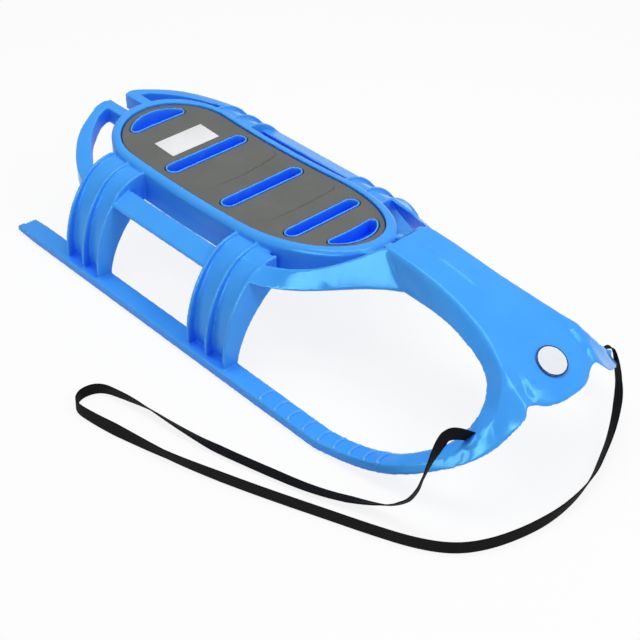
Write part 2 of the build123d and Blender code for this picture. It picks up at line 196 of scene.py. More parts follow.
# %% Lay the webbing along the line
# Each entry is a place along the strap, as a part of its length, and the way its width points there.
WIDTH_WAYS = [(0.0, (0.56, 0.41, 0.72)), (0.012, (0.3, 0.5, 0.8)), (0.022, (0.0, 0.45, 0.9)),
              (0.033, (-0.3, -0.2, 0.9)), (0.041, (-0.1, -0.6, 0.8)), (0.05, (0.2, -0.75, 0.6)),
              (0.06, (0.4, -0.85, 0.35)), (0.07, (0.4, -0.9, 0.15)), (0.086, (0.0, -1.0, 0.1)),
              (0.096, (-0.2, -0.9, 0.3)), (0.116, (0.0, -0.8, 0.6)), (0.128, (0.2, -0.85, 0.5)),
              (0.145, (0.35, -0.9, 0.3)), (0.21, (0.3, -0.95, 0.2)), (0.26, (0.2, -0.95, 0.25)),
              (0.28, (0.2, -0.85, 0.5)), (0.31, (0.15, -0.7, 0.7)), (0.33, (0.15, -0.6, 0.8)),
              (0.35, (0.15, -0.3, 0.95)), (0.385, (0.05, 0.0, 1.0)), (0.42, (-0.05, 0.1, 1.0)),
              (0.45, (0.0, 0.3, 0.95)), (0.5, (0.05, -0.2, 1.0)), (0.55, (0.0, 0.0, 1.0)),
              (0.8, (0.0, 0.0, 1.0)), (0.835, (0.2, 0.0, 1.0)), (0.87, (0.4, 0.15, 0.9)),
              (0.905, (0.55, 0.05, 0.85)), (0.94, (0.65, 0.1, 0.75)), (0.958, (0.7, -0.3, 0.6)),
              (0.966, (0.85, -0.4, 0.35)), (0.98, (0.85, -0.5, 0.1)), (1.0, (0.56, -0.41, 0.72))]
ACROSS = 5                # points across the webbing
EDGE_ROUND = 0.4          # bevel of the woven edges, as a part of the thickness


def band_widths(line, ways):
    """Which way the width points at each point of the line, square to the line."""
    run = along(line)
    tangent = np.gradient(line, run, axis=0)
    tangent /= np.linalg.norm(tangent, axis=1)[:, None]
    shares = [share for share, way in ways]
    width = np.stack([np.interp(run / run[-1], shares, [way[axis] for share, way in ways])
                      for axis in range(3)], axis=1)
    width -= tangent * (width * tangent).sum(1)[:, None]
    return width / np.linalg.norm(width, axis=1)[:, None]


def webbing_along(line, ways, name):
    """A flat band whose middle follows the line, with its UV map in metres along and across."""
    bpy.ops.object.select_all(action="DESELECT")
    bpy.ops.mesh.primitive_grid_add(x_subdivisions=len(line) - 1, y_subdivisions=ACROSS - 1, size=2)
    band = bpy.context.object
    band.name = name
    grid = read_points(band)
    step = np.rint((grid[:, 0] + 1) / 2 * (len(line) - 1)).astype(int)
    side = grid[:, 1:2] * (STRAP_WIDTH - STRAP_THICKNESS) / 2
    write_points(band, line[step] + band_widths(line, ways)[step] * side)
    corner = np.empty(len(band.data.loops), int)
    band.data.loops.foreach_get("vertex_index", corner)
    flat = np.stack([along(line)[step], side[:, 0]], axis=1)
    band.data.uv_layers.active.data.foreach_set("uv", flat[corner].ravel())
    apply_modifier(band, "SOLIDIFY", thickness=STRAP_THICKNESS, offset=0)
    apply_modifier(band, "BEVEL", width=STRAP_THICKNESS * EDGE_ROUND, segments=2, limit_method="ANGLE")
    bpy.ops.object.shade_smooth()
    return band


strap = webbing_along(strap_line, WIDTH_WAYS, "webbing_strap")
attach(strap, "root")
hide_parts("pull_strap")
print("webbing faces:", len(strap.data.polygons))

# %% [markdown]
# The moulding comes next: runners, legs, rails, hand loops, deck, hood and curls are one piece of plastic
# with soft corners. They could be bevelled one by one, but that leaves a seam at every root. Instead, copies
# of their CAD nodes are joined here, and a voxel remesh melts them into a single skin further down.

# %% Copy the moulded parts
SIDES = {"right": -1, "left": 1}
MOULDED = ["nose_hood", "seat_deck"] + [
    f"{side}_{part}" for side in SIDES for part in
    ("runner", "rear_leg", "front_leg", "side_rail", "front_rail", "rear_loop", "front_curl", "neck_rib")]


def copy_nodes(nodes, name):
    """One new object with copies of the CAD nodes' meshes."""
    bpy.ops.object.select_all(action="DESELECT")
    for node in nodes:
        frame["nodes"][node].select_set(True)
    bpy.context.view_layer.objects.active = frame["nodes"][nodes[0]]
    bpy.ops.object.duplicate()
    if len(nodes) > 1:
        bpy.ops.object.join()
    piece = bpy.context.object
    bpy.ops.object.parent_clear(type="CLEAR_KEEP_TRANSFORM")
    piece.name = name
    for key in list(piece.keys()):
        del piece[key]
    piece.data.materials.clear()
    bpy.ops.object.mode_set(mode="EDIT")
    bpy.ops.mesh.select_all(action="SELECT")
    bpy.ops.mesh.remove_doubles(threshold=0.00001)
    bpy.ops.object.mode_set(mode="OBJECT")
    return piece


def join_into(main, *others):
    """Joins the other objects into the main one."""
    clean(main)
    for other in others:
        other.select_set(True)
    bpy.ops.object.join()


body = copy_nodes(MOULDED, "moulded_body")
print("points of the moulded parts:", len(body.data.vertices))

# %% [markdown]
# Three small pieces are added on each side before the parts are melted. A plug fills the round strap socket
# of the curl, so that the plastic meets the webbing as round a slot, and two thin plates join the curl to
# the corner of the lip and to the side of the hood, where the mould has no gap.

# %% Plug the sockets and bridge the corners
SOCKET = (884, 128, 102)                  # the mouth of the left curl's socket
SOCKET_WAY = (-0.376, 0.65, 0.661)        # the way out of it
PLUG_RADIUS = 0.013
PLUG_DEPTH = 0.014
CORNER_THICKNESS = 0.005
SEAM_THICKNESS = 0.004
LIP_CORNER = [(894, 63, 160), (923, 63, 138.5), (896, 42, 160), (927, 45, 133.5)]
HOOD_SEAM = [(852, 73.5, 158.5), (868, 77, 157), (870, 66.5, 171), (887, 70, 167)]


def mirrored(path, mirror):
    """The same places on the left side, where mirror is 1, or on the right side, where it is -1."""
    return [(x, mirror * y, z) for x, y, z in path]


def plug_socket(mirror):
    """A short cylinder that fills the socket up to its mouth."""
    mouth = Vector(place(mirrored([SOCKET], mirror)[0]))
    outwards = Vector(mirrored([SOCKET_WAY], mirror)[0]).normalized()
    bpy.ops.object.select_all(action="DESELECT")
    bpy.ops.mesh.primitive_cylinder_add(vertices=32, radius=PLUG_RADIUS, depth=PLUG_DEPTH,
                                        location=mouth - outwards * (PLUG_DEPTH / 2),
                                        rotation=outwards.to_track_quat("Z", "Y").to_euler())
    plug = bpy.context.object
    bpy.ops.object.transform_apply()
    return plug


def thin_plate(corners, thickness, mirror):
    """A plate through four places, which are given as two rows of two."""
    bpy.ops.object.select_all(action="DESELECT")
    bpy.ops.mesh.primitive_plane_add(size=1)
    plate = bpy.context.object
    write_points(plate, place(mirrored(corners, mirror)))
    apply_modifier(plate, "SOLIDIFY", thickness=thickness, offset=mirror)
    return plate


for mirror in SIDES.values():
    join_into(body, plug_socket(mirror), thin_plate(LIP_CORNER, CORNER_THICKNESS, mirror),
              thin_plate(HOOD_SEAM, SEAM_THICKNESS, mirror))
print("points before melting:", len(body.data.vertices))

# %% [markdown]
# Voxels leave small steps along every sharp edge, longest where an edge runs nearly level with the voxels,
# so the parts are turned askew before they are melted and turned back after it. A plain smoothing would
# shrink the thin ribs before the steps are gone, so each smoothing pass is followed by one that pushes back
# a little further. This pair removes the steps and keeps the walls as thick as they were. A last plain
# smoothing softens the corners, and goes on longer at the front, where the mould's edges are rounder.

# %% Melt the parts into one skin
VOXEL = 0.0015
SMOOTH_AND_PUSH_BACK = (0.5, -0.53)
ASKEW = Euler((0.35, 0.42, 0.55)).to_matrix().to_4x4()
FRONT = place((610, 0, 0))[0]     # where the rounder edges of the front begin


def soften(obj, rounds, where=None):
    """Smooths the skin, or only the points where the test holds."""
    clean(obj)
    smooth = obj.modifiers.new("soften", "SMOOTH")
    smooth.factor = 0.5
    smooth.iterations = rounds
    if where is not None:
        group = obj.vertex_groups.new(name="softer")
        group.add(np.flatnonzero(where).tolist(), 1.0, "REPLACE")
        smooth.vertex_group = group.name
    bpy.ops.object.modifier_apply(modifier=smooth.name)
    obj.vertex_groups.clear()


def melt(obj, voxel, pairs, rounds):
    """Remeshes an object into one skin of small squares, and smooths its steps away."""
    obj.data.transform(ASKEW)
    apply_modifier(obj, "REMESH", mode="VOXEL", voxel_size=voxel)
    obj.data.transform(ASKEW.inverted())
    clean(obj)
    for factor in SMOOTH_AND_PUSH_BACK * pairs:
        smooth = obj.modifiers.new("even_out", "SMOOTH")
        smooth.factor = factor
        smooth.iterations = 1
    bpy.ops.object.convert(target="MESH")
    soften(obj, rounds)


melt(body, VOXEL, pairs=26, rounds=2)
soften(body, 8, read_points(body)[:, 0] > FRONT)
print("melted faces:", len(body.data.polygons))

# %% [markdown]
# Details of the mould are sculpted into that skin while it is still dense. A helper raises or presses in
# the skin along a path of places, most at the middle of the path and fading out to its sides, as a
# sculpting brush does. A thin wall is pushed all one way, so that both its faces move together. The hood's
# side edges are large soft curves in the mould, so the skin near them is softened much longer than elsewhere.
# The same detail is worked on both sides of the sled.

# %% Find places on the skin
def fine_track(path):
    """Points a millimetre apart along a path of places, and how far along each is."""
    path = place(path)
    run = along(path)
    fine = np.linspace(0, run[-1], max(2, int(run[-1] / 0.001)))
    return np.stack([np.interp(fine, run, path[:, axis]) for axis in range(3)], axis=1), fine, run


def nearest(points, track, reach):
    """Which points are within reach of a track, and for those the distance and the nearest point of it."""
    near = np.flatnonzero(np.all((points > track.min(0) - reach) & (points < track.max(0) + reach), axis=1))
    gap = ((points[near][:, None] - track[None]) ** 2).sum(2)
    return near, np.sqrt(gap.min(1)), gap.argmin(1)


def skin_tree(obj):
    """A tree of the skin's faces, which finds where a ray meets the skin."""
    return BVHTree.FromObject(obj, bpy.context.evaluated_depsgraph_get())


def skin_height(tree, x, y, start):
    """Height of the skin under a place that lies at the start height, or 0 where there is none."""
    hit = tree.ray_cast(Vector((x, y, start)), Vector((0, 0, -1)))[0]
    return hit.z if hit else 0.0


OVER_SLED = 0.3           # heights to look down from, over the whole sled and over the runners
OVER_RUNNER = 0.1


def on_skin(tree, path):
    """Places forward and to the left, each with the height of the skin there."""
    flat = place([(x, y, 0) for x, y in path])
    return [(x, y, skin_height(tree, *spot[:2], OVER_SLED) * 1000) for (x, y), spot in zip(path, flat)]


# %% Round the edges of the hood and the curls
def round_edge(obj, path, rounding):
    """Softens the skin near a path, in steps that each say how near and how many rounds."""
    track = fine_track(path)[0]
    for reach, rounds in rounding:
        points = read_points(obj)
        near, gap, _ = nearest(points, track, reach)
        inside = np.zeros(len(points), bool)
        inside[near[gap < reach]] = True
        soften(obj, rounds, inside)
    return int(inside.sum())


HOOD_EDGE = [(662, 39, 220), (700, 39.5, 217.5), (780, 43.5, 204.5), (820, 50, 195.5), (850, 57, 186.5),
             (882, 69, 172.5), (893, 79, 155)]
CURL_INNER = [(793, 155, 34), (834, 146, 61), (864, 133, 88), (879, 118, 113), (880, 100, 134),
              (872, 87, 148), (858, 76, 160), (826, 65, 167)]
CURL_OUTER = [(803, 187, 23), (866, 165, 54), (901, 143, 78), (915, 119, 90), (925, 92, 109),
              (929, 75, 126), (922, 63, 139)]
LIP = [(922, 58, 139), (926, 48, 134), (932, 38, 131), (937, 25, 131), (940, 0, 132)]
WIDE_ROUNDING = ((0.016, 14), (0.013, 18), (0.010, 24))
CLOSE_ROUNDING = ((0.009, 14), (0.006, 22))
for mirror in SIDES.values():
    print("points along the hood's edge:", round_edge(body, mirrored(HOOD_EDGE, mirror), WIDE_ROUNDING))
    for line in (CURL_INNER, CURL_OUTER, LIP):
        round_edge(body, mirrored(line, mirror), CLOSE_ROUNDING)

# %% A brush for sculpting
def sculpt(obj, path, heights, spread, push=None, straight=False):
    """Moves the skin near a path along its normals, or all one way. Heights and spread are in millimetres.

    The heights go with the places of the path. The effect fades out to the sides like a bell, or in a
    straight slope that ends in a crease."""
    track, fine, run = fine_track(path)
    lift = np.interp(fine, run, heights) / 1000
    points = read_points(obj)
    near, gap, closest = nearest(points, track, 3 * spread / 1000)
    gap *= 1000 / spread
    fade = np.clip(1 - gap, 0, 1) if straight else np.exp(-gap ** 2)
    ways = read_points(obj, "normal")[near] if push is None else np.array(Vector(push).normalized())
    points[near] += ways * (lift[closest] * fade)[:, None]
    write_points(obj, points)
    return len(near)


# %% Sculpt the hood and the curls
# A groove where the tongue meets the curl, a shoulder over the curl's upper end, a fold down the rear end of
# the hood's side, and a crest along the middle of the hood.
GROOVE = [(850, 40, 186), (862, 45, 182), (886, 52, 168), (897, 54, 160), (910, 56, 147), (920, 57, 137)]
SHOULDER = [(835, 56, 191), (862, 63, 181), (882, 70, 171), (893, 80, 155), (900, 96, 137)]
FOLD = [(653, 40, 216), (668, 42, 195), (684, 43, 174)]
CREST = [(664, 0), (690, 0), (720, 0), (760, 0), (805, 0)]
for mirror in SIDES.values():
    sculpt(body, mirrored(CURL_OUTER, mirror), (0.8,) * 7, 5)
    sculpt(body, mirrored(LIP, mirror), (0, 0.8, 0.8, 0.8, 0.4), 5)
    sculpt(body, mirrored(CURL_INNER, mirror), (2, 6, 10, 12, 12, 11, 8, 0), 22,
           push=(-0.59, mirror * -0.54, -0.6), straight=True)
    sculpt(body, mirrored(GROOVE, mirror), (0, -0.8, -1.8, -2.4, -2.4, -1.6), 6, push=(0.5, 0, 0.85))
    sculpt(body, mirrored(SHOULDER, mirror), (0, 0.6, 1.8, 3.0, 0), 12, push=(0.2, mirror * 0.4, 0.87))
    sculpt(body, mirrored(FOLD, mirror), (0, 1.6, 0.8), 2.2)
crest = on_skin(skin_tree(body), CREST)
print("points under the hood's crest:", sculpt(body, crest, (0, 1.6, 2.2, 2.0, 0), 3.2, push=(0, 0, 1)))

# %% [markdown]
# The tail of each runner ends in four small teeth for grip, on its inner half. The skin is dense enough
# there that the end face is pressed in between the teeth, so no tool has to cut through the mesh.

# %% Press in the teeth of the tail
TOOTH_PITCH = 0.005
TOOTH_DEPTH = 0.005
TOOTH_COUNT = 4
TOOTH_FADE = 0.006        # how far ahead of the end face the skin still moves
points = read_points(body)
inwards = points[:, 0] - TAIL
across = (np.abs(points[:, 1]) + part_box("right_runner")[1].y) / TOOTH_PITCH
teeth = (inwards < TOOTH_FADE) & (across > 0) & (across < TOOTH_COUNT) & (points[:, 2] < LOW)
notch = TOOTH_DEPTH * (1 - np.abs(2 * (across[teeth] % 1) - 1))
points[teeth, 0] += notch * (1 - inwards[teeth] / TOOTH_FADE)
write_points(body, points)
print("points moved for the teeth:", int(teeth.sum()))

# %% [markdown]
# The remesh leaves far more faces than the flat walls need. A decimate merges those that lie flat and leaves
# the small faces where the skin bends. The dense points are kept, to measure the runners from them later.

# %% Thin the skin and finish the body
MOST_TRIANGLES = 190000


def thin(obj):
    """Merges faces until the object has the most triangles that it may keep."""
    apply_modifier(obj, "DECIMATE", ratio=MOST_TRIANGLES / (2 * len(obj.data.polygons)))


dense_points = read_points(body)
thin(body)
bpy.ops.object.shade_smooth()
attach(body, "root")
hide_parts(*MOULDED)
print("moulded body faces:", len(body.data.polygons))

# %% [markdown]
# Nine low ridges cross each runner ahead of the front leg, so that a boot doesn't slip. Each is a bowed bar
# with its ends sunk into the skin. One bar is spun from a round section, and its copies are turned to follow
# the runner's edge and dropped onto the skin, where the last ones climb with the curl.

# %% Model one foot ridge
RIDGE_RADIUS = 0.003
BOW_RADIUS = 0.025
HALF_TURN = math.radians(33)
RIDGE_STEPS = 18
RIDGE_SIDES = 12
END_DROP = 1.3            # how far the bar's ends drop, in radii
END_START = 0.75          # how far out they begin to drop, as a part of half the bar


def spin_ridge():
    """A bowed bar with its outer end at the right and its bow to the rear."""
    bpy.ops.object.select_all(action="DESELECT")
    start = (BOW_RADIUS * (1 - math.cos(HALF_TURN)), -BOW_RADIUS * math.sin(HALF_TURN), 0)
    bpy.ops.mesh.primitive_circle_add(vertices=RIDGE_SIDES, radius=RIDGE_RADIUS, fill_type="NGON",
                                      location=start, rotation=(math.pi / 2, 0, HALF_TURN))
    ridge = bpy.context.object
    bpy.ops.object.transform_apply()
    bpy.ops.object.mode_set(mode="EDIT")
    bpy.ops.mesh.select_all(action="SELECT")
    bpy.ops.mesh.spin(steps=RIDGE_STEPS, angle=2 * HALF_TURN, center=(BOW_RADIUS, 0, 0), axis=(0, 0, 1))
    bpy.ops.mesh.select_all(action="SELECT")
    bpy.ops.mesh.normals_make_consistent(inside=False)
    bpy.ops.object.mode_set(mode="OBJECT")
    points = read_points(ridge)
    along_bow = np.abs(points[:, 1]) / np.abs(points[:, 1]).max()
    points[:, 2] -= RIDGE_RADIUS * END_DROP * np.clip((along_bow - END_START) / (1 - END_START), 0, 1) ** 2
    write_points(ridge, points)
    return ridge


ridge_model = spin_ridge()
print("ridge size:", [round(value, 4) for value in ridge_model.dimensions])

# %% Copy the ridges along both runners
RIDGE_PLACES = (578, 608, 634, 663, 691, 716, 741, 765, 785)   # millimetres from the tail
RIDGE_INSET = 0.016       # from the runner's outer edge to the middle of a ridge
RIDGE_SINK = 0.0005
DEEPEST_DIP = 0.003       # how far the skin under a ridge may lie below its usual height
EDGE_REACH = 0.008        # how far to each side of a ridge the runner's edge is looked at
SLICE = 0.002             # half the thickness of the slice of skin in which the edge is found


def outer_edge(x):
    """How far from the middle the runner reaches at this place."""
    inside = (np.abs(dense_points[:, 0] - x) < SLICE) & (dense_points[:, 2] < LOW)
    return float(np.abs(dense_points[inside, 1]).max())


body_tree = skin_tree(body)
ridge_points = read_points(ridge_model)
ridges = []
for mirror in SIDES.values():
    for station in place([(x, 0, 0) for x in RIDGE_PLACES])[:, 0]:
        widening = outer_edge(station + EDGE_REACH) - outer_edge(station - EDGE_REACH)
        lean = math.atan2(widening, 2 * EDGE_REACH)
        copy = ridge_model.copy()
        copy.data = ridge_model.data.copy()
        bpy.context.collection.objects.link(copy)
        points = ridge_points @ np.array(Matrix.Rotation(-lean, 3, "Z")).T
        points[:, 0] += station
        points[:, 1] -= outer_edge(station) - RIDGE_INSET
        points[:, 1] *= -mirror
        if mirror > 0:
            copy.data.flip_normals()
        heights = np.array([skin_height(body_tree, x, y, OVER_RUNNER) for x, y in points[:, :2]])
        points[:, 2] += np.maximum(heights, np.median(heights) - DEEPEST_DIP) - RIDGE_SINK
        write_points(copy, points)
        ridges.append(copy)
bpy.data.objects.remove(ridge_model)
foot_ridges = ridges[0]
foot_ridges.name = "foot_ridges"
join_into(foot_ridges, *ridges[1:])
bpy.ops.object.shade_smooth()
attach(foot_ridges, "root")
print("ridges:", len(ridges), "faces:", len(foot_ridges.data.polygons))

# %% [markdown]
# The pad is closed-cell foam cut from sheet, with a fine skin and soft edges, and it lies in the dish of the
# deck, so it isn't crowned like a cushion. A fine remesh of its CAD node rounds the cut edges. Two creases
# are then pressed across its top between the grips, with the same brush as the hood's.

# %% Make the foam pad
PAD_VOXEL = 0.0013
CREASE_HEIGHTS = (-0.3, -1.8, -2.4, -2.4, -1.8, 0)
CREASE_SPREAD = 1.5
PAD_CREASES = ([(284, 84), (303, 74), (309, 40), (313, 0), (311, -30), (307, -62)],
               [(428, 76), (437, 66), (439, 35), (440, 0), (439, -30), (437, -64)])
pad = copy_nodes(["seat_pad"], "foam_pad")
melt(pad, PAD_VOXEL, pairs=6, rounds=3)
pad_tree = skin_tree(pad)
for crease in PAD_CREASES:
    sculpt(pad, on_skin(pad_tree, crease), CREASE_HEIGHTS, CREASE_SPREAD)
thin(pad)
bpy.ops.object.shade_smooth()
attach(pad, "root")
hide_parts("seat_pad")
print("pad faces:", len(pad.data.polygons))

# %% [markdown]
# The round badge on the nose is a thin disc, domed like a drop of clear resin, with a dark blue ring at its
# rim, and it stays blank. A cylinder gets the place, tilt and size of its CAD node, measured from the node's
# points. Its top face is inset for the ring and raised in small steps for the dome.

# %% Make the badge
RING_WIDTH = 0.0019
DOME_STEPS = ((0.001, 0.0001), (0.004, 0.0003), (0.006, 0.0003), (0.006, 0.0001))   # inwards, upwards
FACETS = 72


def select_faces(obj, test):
    """In edit mode's face selection, leaves only the faces that pass the test."""
    bpy.ops.object.mode_set(mode="OBJECT")
    for polygon in obj.data.polygons:
        polygon.select = test(polygon)
    for edge in obj.data.edges:
        edge.select = False
    for vertex in obj.data.vertices:
        vertex.select = False
    bpy.ops.object.mode_set(mode="EDIT")
    bpy.ops.mesh.select_mode(type="FACE")


badge_points = read_points(frame["nodes"]["nose_badge"])
badge_middle = Vector((badge_points.max(0) + badge_points.min(0)) / 2)
badge_axis = Vector(np.linalg.svd(badge_points - badge_points.mean(0), full_matrices=False)[2][2])
badge_axis *= math.copysign(1, badge_axis.z)
badge_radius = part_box("nose_badge")[1].y
badge_depth = 2 * max(abs((Vector(point) - badge_middle).dot(badge_axis)) for point in badge_points)
bpy.ops.object.select_all(action="DESELECT")
bpy.ops.mesh.primitive_cylinder_add(vertices=FACETS, radius=badge_radius, depth=badge_depth,
                                    end_fill_type="NGON")
badge = bpy.context.object
badge.name = "domed_badge"
select_faces(badge, lambda polygon: polygon.normal.z > 0.9)
bpy.ops.mesh.inset(thickness=RING_WIDTH)
for inwards, upwards in DOME_STEPS:
    bpy.ops.mesh.inset(thickness=inwards)
    bpy.ops.transform.translate(value=(0, 0, upwards))
bpy.ops.object.mode_set(mode="OBJECT")
for polygon in badge.data.polygons:
    reach = max(math.hypot(*badge.data.vertices[index].co.xy) for index in polygon.vertices)
    polygon.material_index = int(polygon.normal.z > 0.5 and reach < badge_radius - RING_WIDTH * 0.9)
apply_modifier(badge, "BEVEL", width=0.0003, segments=2, limit_method="ANGLE", angle_limit=math.radians(40))
bpy.ops.object.shade_smooth_by_angle(angle=math.radians(35))
tilt = badge_axis.to_track_quat("Z", "Y").to_matrix().to_4x4()
badge.matrix_world = Matrix.Translation(badge_middle) @ tilt
clean(badge)
bpy.ops.object.transform_apply()
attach(badge, "root")
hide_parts("nose_badge")
print("badge faces:", len(badge.data.polygons), "axis:", tuple(round(value, 2) for value in badge_axis))

# %% [markdown]
# The label on the pad is a plain film, blank too. It is the copy of its CAD node, with the flat faces merged
# so that a small bevel finds only its real edges.

# %% Make the label
label = copy_nodes(["pad_label"], "blank_label")
clean(label)
bpy.ops.object.mode_set(mode="EDIT")
bpy.ops.mesh.select_all(action="SELECT")
bpy.ops.mesh.dissolve_limited(angle_limit=math.radians(1))
bpy.ops.object.mode_set(mode="OBJECT")
apply_modifier(label, "BEVEL", width=0.0002, segments=2, limit_method="ANGLE")
bpy.ops.object.shade_smooth_by_angle(angle=math.radians(35))
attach(label, "root")
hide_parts("pad_label")
print("label faces:", len(label.data.polygons))

# %% [markdown]
# Every finish gets its fine structure from a few shared node groups. A group only puts out patterns, and
# each material decides what the pattern does to its colour, its roughness and its bump. The first group is
# a fine grain with a slow drift under it: moulded skin, foam and film all have one, at their own scale.

# %% Node group for grain
def new_group(name, inputs, outputs):
    """An empty shader node group with its sockets, and its two end nodes."""
    group = bpy.data.node_groups.new(name, "ShaderNodeTree")
    for socket, kind, value in inputs:
        made = group.interface.new_socket(socket, in_out="INPUT", socket_type=kind)
        if value is not None:
            made.default_value = value
    for socket in outputs:
        group.interface.new_socket(socket, in_out="OUTPUT", socket_type="NodeSocketFloat")
    return group, group.nodes.new("NodeGroupInput"), group.nodes.new("NodeGroupOutput")


def math_node(tree, operation, first, second):
    """A Math node whose inputs are sockets or numbers."""
    node = tree.nodes.new("ShaderNodeMath")
    node.operation = operation
    for socket, value in zip(node.inputs, (first, second)):
        if isinstance(value, (int, float)):
            socket.default_value = value
        else:
            tree.links.new(value, socket)
    return node.outputs[0]


grain_group, grain_in, grain_out = new_group(
    "fine_grain", (("Vector", "NodeSocketVector", None), ("Scale", "NodeSocketFloat", 1000.0),
                   ("Drift Scale", "NodeSocketFloat", 12.0)), ("Height", "Drift"))
for scale, result in (("Scale", "Height"), ("Drift Scale", "Drift")):
    noise = grain_group.nodes.new("ShaderNodeTexNoise")
    noise.inputs["Detail"].default_value = 3.0
    grain_group.links.new(grain_in.outputs["Vector"], noise.inputs["Vector"])
    grain_group.links.new(grain_in.outputs[scale], noise.inputs["Scale"])
    grain_group.links.new(noise.outputs["Fac"], grain_out.inputs[result])
print("grain group nodes:", len(grain_group.nodes))

# %% [markdown]
# Webbing is a plain weave: threads along the band pass over and under threads across it. Two sine waves
# multiplied give the raised spots of the crossings, in metres of the band's own UV map.

# %% Node group for the weave
weave_group, weave_in, weave_out = new_group(
    "plain_weave", (("Vector", "NodeSocketVector", None), ("Pitch", "NodeSocketFloat", 0.001)), ("Height",))
split = weave_group.nodes.new("ShaderNodeSeparateXYZ")
weave_group.links.new(weave_in.outputs["Vector"], split.inputs[0])
waves = []
for axis, stretch in (("X", 1.0), ("Y", 1.6)):
    turns = math_node(weave_group, "DIVIDE", split.outputs[axis], weave_in.outputs["Pitch"])
    angle = math_node(weave_group, "MULTIPLY", turns, 2 * math.pi / stretch)
    waves.append(math_node(weave_group, "SINE", angle, 0))
crossing = math_node(weave_group, "MULTIPLY", *waves)
halved = math_node(weave_group, "MULTIPLY_ADD", crossing, 0.5)
weave_group.nodes[-1].inputs[2].default_value = 0.5
weave_group.links.new(halved, weave_out.inputs["Height"])
print("weave group nodes:", len(weave_group.nodes))

# %% Helpers for materials
def new_material(name, grain_scale, drift_scale, **sockets):
    """A Principled material with the grain group on Object coordinates."""
    material = bpy.data.materials.new(name)
    material.use_nodes = True
    tree = material.node_tree
    shader = tree.nodes["Principled BSDF"]
    for socket, value in sockets.items():
        shader.inputs[socket.replace("_", " ")].default_value = value
    place_on = tree.nodes.new("ShaderNodeTexCoord")
    grain = tree.nodes.new("ShaderNodeGroup")
    grain.node_tree = grain_group
    grain.inputs["Scale"].default_value = grain_scale
    grain.inputs["Drift Scale"].default_value = drift_scale
    tree.links.new(place_on.outputs["Object"], grain.inputs["Vector"])
    return material, tree, shader, grain


def blend_colors(tree, factor, first, second):
    """One colour or the other, by a mask. A colour may be a socket."""
    node = tree.nodes.new("ShaderNodeMix")
    node.data_type = "RGBA"
    tree.links.new(factor, node.inputs["Factor"])
    for socket, color in ((node.inputs[6], first), (node.inputs[7], second)):
        if isinstance(color, tuple):
            socket.default_value = (*color, 1.0)
        else:
            tree.links.new(color, socket)
    return node.outputs[2]


def remap(tree, value, low, high, new_low, new_high):
    """Stretches a value from one range to another and holds it inside the new one."""
    node = tree.nodes.new("ShaderNodeMapRange")
    tree.links.new(value, node.inputs["Value"])
    for socket, number in (("From Min", low), ("From Max", high), ("To Min", new_low), ("To Max", new_high)):
        node.inputs[socket].default_value = number
    return node.outputs["Result"]


def add_bump(tree, shader, height, distance):
    """Raises the shading of a surface by a height, up to a distance in metres."""
    bump = tree.nodes.new("ShaderNodeBump")
    bump.inputs["Distance"].default_value = distance
    tree.links.new(height, bump.inputs["Height"])
    tree.links.new(bump.outputs["Normal"], shader.inputs["Normal"])


def paint(obj, *materials):
    """Gives the object these materials. Faces keep the numbers of their slots."""
    numbers = [polygon.material_index for polygon in obj.data.polygons]
    obj.data.materials.clear()
    for material in materials:
        obj.data.materials.append(material)
    obj.data.polygons.foreach_set("material_index", numbers)


# %% [markdown]
# Blue polyethylene is painted paler on convex edges, a painted highlight, and a deeper blue in hollows,
# painted shade. The edge mask is measured once from the mesh and kept as an attribute, so it needs no light,
# and the hollows come from an ambient occlusion node. The skin is glossy with a faint grain, and its
# highlights are tinted to a pale cyan.

# %% Measure the moulding's edges
def mark_edges(obj, rounds=2):
    """Stores how convex the skin is at each point, from below 0 in a groove to above 0 on an edge."""
    points = read_points(obj)
    ends = np.empty(len(obj.data.edges) * 2, int)
    obj.data.edges.foreach_get("vertices", ends)
    first, second = np.concatenate([ends.reshape(-1, 2), ends.reshape(-1, 2)[:, ::-1]]).T
    count = np.bincount(first, minlength=len(points))
    offset = points[second] - points[first]
    reach = np.bincount(first, np.linalg.norm(offset, axis=1), len(points)) / count
    total = np.stack([np.bincount(first, offset[:, axis], len(points)) for axis in range(3)], axis=1)
    mean = total / count[:, None]
    bend = -(mean * read_points(obj, "normal")).sum(1) / reach
    for _ in range(rounds):
        bend = (bend + np.bincount(first, bend[second], len(points)) / count) / 2
    attribute = obj.data.attributes.new("edge", "FLOAT", "POINT")
    attribute.data.foreach_set("value", bend)
    return bend


for moulded_piece in (body, foot_ridges):
    bend = mark_edges(moulded_piece)
    print("edge mask of", moulded_piece.name, np.round(np.percentile(bend, (5, 50, 95, 99)), 3))

# %% Blue moulded plastic
BLUE = (0.059, 0.366, 1.0)
BLUE_DRIFT = (0.067, 0.386, 1.0)
# The edge blue is a painted highlight on convex edges, and the hollow blue is painted shade in hollows.
BLUE_PAINTED_EDGE_HIGHLIGHT = (0.24, 0.62, 1.0)
BLUE_PAINTED_HOLLOW_SHADE = (0.0, 0.11, 0.98)
blue, tree, shader, grain = new_material("blue_moulding", grain_scale=1400, drift_scale=14,
                                        Specular_IOR_Level=0.35, Specular_Tint=(0.3, 0.95, 1.0, 1.0))
edge = tree.nodes.new("ShaderNodeAttribute")
edge.attribute_name = "edge"
hollow = tree.nodes.new("ShaderNodeAmbientOcclusion")
hollow.samples = 8
hollow.inputs["Distance"].default_value = 0.06
color = blend_colors(tree, remap(tree, grain.outputs["Drift"], 0.35, 0.65, 0, 1), BLUE, BLUE_DRIFT)
# Painted shade: a deeper blue where the ambient occlusion finds a hollow.
color = blend_colors(tree, remap(tree, hollow.outputs["AO"], 0.15, 0.75, 1.0, 0), color, BLUE_PAINTED_HOLLOW_SHADE)
